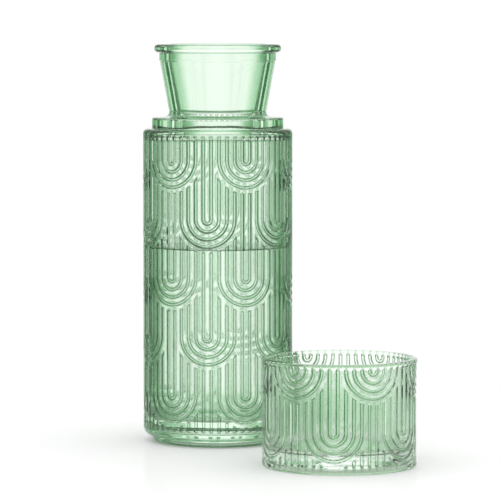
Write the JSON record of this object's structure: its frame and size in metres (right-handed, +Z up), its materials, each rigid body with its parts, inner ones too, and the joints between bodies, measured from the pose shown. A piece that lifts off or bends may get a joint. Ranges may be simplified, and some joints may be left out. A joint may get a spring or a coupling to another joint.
{
  "type": "bedside carafe with tumbler",
  "caption": "Ribbed pressed-glass water carafe with a stepped shoulder and flared neck, and a matching straight tumbler that doubles as its lid, standing beside it.",
  "frame": {"origin": "middle of the set's footprint on the table, between the carafe and the tumbler", "axes": "+Z up along the carafe's axis, -Y towards the viewer and the tumbler, +X to the viewer's right"},
  "size_m": [0.16, 0.2044, 0.239],
  "materials": {
    "carafe_glass": "clear pale green pressed glass, fire-polished",
    "tumbler_glass": "clear pale green pressed glass, fire-polished"
  },
  "bodies": {
    "carafe": {"carafe": "carafe_glass"},
    "tumbler": {"tumbler": "tumbler_glass"}
  },
  "joints": [
    {"name": "tumbler_lift", "type": "slide", "parent": "carafe", "child": "tumbler", "axis": [0, 0, 1], "range_m": [0, 0.245]}
  ]
}
